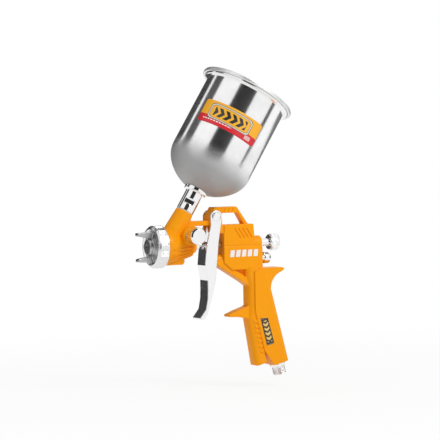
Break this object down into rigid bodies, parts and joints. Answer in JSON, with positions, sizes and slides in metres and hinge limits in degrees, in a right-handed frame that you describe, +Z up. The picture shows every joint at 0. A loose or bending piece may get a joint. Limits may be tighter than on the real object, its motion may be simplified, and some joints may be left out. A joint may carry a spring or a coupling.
{
  "type": "gravity feed spray gun",
  "caption": "Gravity-feed HVLP paint spray gun: cast orange body with hanging hook, tilted metal cup with lid, trigger, air cap and ring, fluid and fan knobs, threaded air inlet.",
  "frame": {"origin": "centre of the air inlet's lower end face", "axes": "+Z up along the gun's height, spray axis level and pointing along -X, gun's left side facing -Y"},
  "size_m": [0.1627, 0.0946, 0.3036],
  "materials": {
    "body_paint": "gloss orange-yellow paint on die-cast metal",
    "chrome": "bright chrome plate",
    "polished_steel": "polished stainless sheet",
    "polished_aluminium": "polished aluminium",
    "brass": "turned brass",
    "spring_steel": "drawn wire",
    "nylon": "natural nylon",
    "seal": "black seal",
    "label": "printed film",
    "badge": "dark moulded plate",
    "marks": "white print"
  },
  "bodies": {
    "gun": {"gun_body": "body_paint", "air_inlet_nipple": "chrome", "inlet_washer": "nylon", "fluid_nozzle": "polished_steel", "nozzle_gasket": "nylon", "air_distributor": "brass", "needle_packing": "nylon", "packing_nut": "chrome", "needle_front_bush": "brass", "needle_guide_bush": "chrome", "air_valve_seat": "brass", "air_valve_packing": "nylon", "air_valve_gland": "chrome", "air_valve_cap": "chrome", "fan_valve_body": "chrome", "trigger_pin": "chrome", "trigger_pin_clip": "chrome", "side_marks": "marks", "handle_badge": "badge", "cup_socket_seal": "nylon", "needle_spring": "spring_steel", "air_valve_spring": "spring_steel"},
    "ring": {"cap_ring": "chrome"},
    "cap": {"air_cap": "chrome"},
    "needle": {"fluid_needle": "polished_steel", "needle_collar": "polished_steel", "needle_spring_seat": "polished_steel"},
    "air_valve": {"valve_stem": "polished_steel", "valve_poppet": "brass", "valve_poppet_seal": "seal"},
    "fluid_control": {"fluid_knob": "chrome", "fluid_knob_plunger": "chrome"},
    "fan_control": {"fan_knob": "chrome", "fan_spindle": "polished_steel"},
    "trigger": {"trigger": "chrome"},
    "cup": {"cup_shell": "polished_steel", "cup_stem": "polished_steel", "cup_retaining_nut": "polished_steel", "cup_filter": "nylon", "cup_label": "label"},
    "lid": {"cup_lid": "polished_aluminium", "lid_vent": "nylon", "lid_gasket": "seal"}
  },
  "joints": [
    {"name": "trigger_pull", "type": "hinge", "parent": "gun", "child": "trigger", "pos_m": [-0.0708, 0, 0.1571], "axis": [0, -1, 0], "range_deg": [0, 10], "stiffness_Nm_per_rad": 1.5, "springref_deg": -14.32},
    {"name": "needle_slide", "type": "slide", "parent": "gun", "child": "needle", "axis": [1, 0, 0], "range_m": [0, 0.005], "deforming": ["needle_spring"]},
    {"name": "air_valve_slide", "type": "slide", "parent": "gun", "child": "air_valve", "axis": [1, 0, 0], "range_m": [0, 0.0075], "deforming": ["air_valve_spring"]},
    {"name": "fluid_knob_turn", "type": "hinge", "parent": "gun", "child": "fluid_control", "pos_m": [-0.006, 0, 0.13], "axis": [1, 0, 0], "continuous": true},
    {"name": "fan_knob_turn", "type": "hinge", "parent": "gun", "child": "fan_control", "pos_m": [-0.1004, -0.024, 0.1399], "axis": [0, -1, 0], "range_deg": [0, 540]},
    {"name": "ring_turn", "type": "hinge", "parent": "gun", "child": "ring", "pos_m": [-0.132, 0, 0.13], "axis": [-1, 0, 0], "continuous": true},
    {"name": "air_cap_turn", "type": "hinge", "parent": "gun", "child": "cap", "pos_m": [-0.138, 0, 0.13], "axis": [-1, 0, 0], "range_deg": [-90, 90]},
    {"name": "cup_unscrew", "type": "hinge", "parent": "gun", "child": "cup", "pos_m": [-0.1011, 0, 0.1623], "axis": [0.5299, 0, 0.848], "continuous": true},
    {"name": "lid_lift", "type": "slide", "parent": "cup", "child": "lid", "axis": [0.5299, 0, 0.848], "range_m": [0, 0.06]}
  ],
  "couplings": [
    {"joint": "needle_slide", "follows": "trigger_pull", "m_per_rad": 0.0275},
    {"joint": "air_valve_slide", "follows": "trigger_pull", "m_per_rad": 0.0425}
  ]
}
